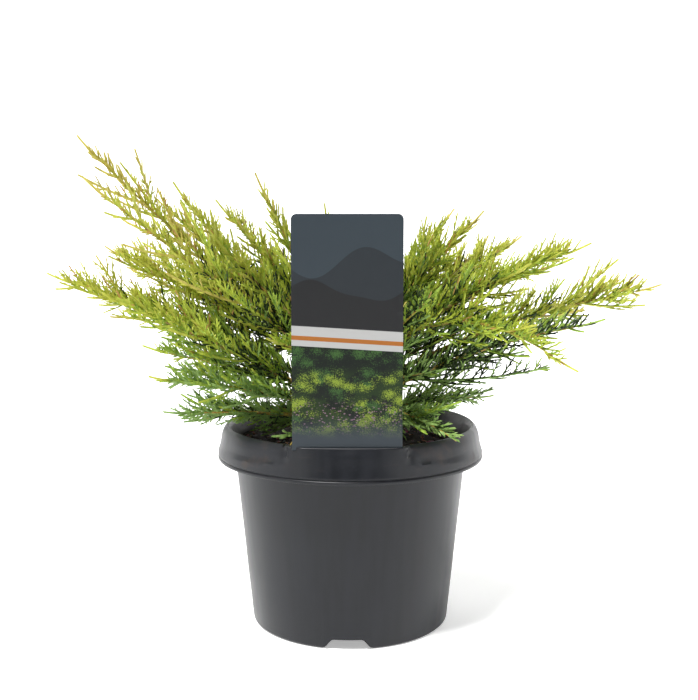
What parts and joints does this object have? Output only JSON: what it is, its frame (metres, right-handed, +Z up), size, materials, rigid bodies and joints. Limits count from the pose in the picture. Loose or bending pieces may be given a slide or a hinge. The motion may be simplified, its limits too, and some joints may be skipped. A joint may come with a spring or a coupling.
{
  "type": "potted golden spreading juniper",
  "caption": "Young spreading evergreen shrub with feathery golden and green foliage, in a round nursery pot with a plain plant label",
  "frame": {"origin": "centre of the pot's flat underside, on the surface it stands on", "axes": "+Z up along the pot, -Y the front with the label, +X to the right along the plant's widest spread"},
  "size_m": [0.4447, 0.2704, 0.3475],
  "materials": {
    "pot": "dark grey moulded plastic, satin, slightly dusty",
    "growing_medium": "moist dark brown growing medium with bark chips, rough",
    "label": null,
    "bark": "thin flaking reddish brown bark, matt",
    "foliage": "scale-leaved sprays from golden yellow to deep green, satin"
  },
  "bodies": {
    "root": {"pot": "pot", "growing_medium": "growing_medium", "label_card": "label", "trunk": "bark", "bough_far_left": "bark", "foliage_far_left": "foliage", "bough_top_left": "bark", "foliage_top_left": "foliage", "bough_left_back": "bark", "foliage_left_back": "foliage", "bough_left_front": "bark", "foliage_left_front": "foliage", "bough_crown_front": "bark", "foliage_crown_front": "foliage", "bough_crown_back": "bark", "foliage_crown_back": "foliage", "bough_crown_right": "bark", "foliage_crown_right": "foliage", "bough_far_right": "bark", "foliage_far_right": "foliage", "bough_right_high": "bark", "foliage_right_high": "foliage", "bough_right_mid": "bark", "foliage_right_mid": "foliage", "bough_front_right": "bark", "foliage_front_right": "foliage", "bough_front_left": "bark", "foliage_front_left": "foliage", "bough_back_left": "bark", "foliage_back_left": "foliage", "bough_back_mid": "bark", "foliage_back_mid": "foliage", "bough_back_right": "bark", "foliage_back_right": "foliage", "bough_top_left_front": "bark", "foliage_top_left_front": "foliage", "bough_upper_left": "bark", "foliage_upper_left": "foliage", "bough_crown_left": "bark", "foliage_crown_left": "foliage", "bough_upper_left_back": "bark", "foliage_upper_left_back": "foliage", "bough_left_low": "bark", "foliage_left_low": "foliage", "bough_right_back": "bark", "foliage_right_back": "foliage", "bough_upper_right": "bark", "foliage_upper_right": "foliage", "foliage_left_under": "foliage", "foliage_right_drop": "foliage", "foliage_left_rim": "foliage", "foliage_right_rim": "foliage", "foliage_back_rim": "foliage", "foliage_front_left_rim": "foliage", "foliage_front_right_rim": "foliage", "foliage_front_mid": "foliage", "foliage_left_inner": "foliage", "foliage_left_foot": "foliage", "foliage_right_inner": "foliage", "foliage_front_right_low": "foliage"}
  },
  "joints": []
}
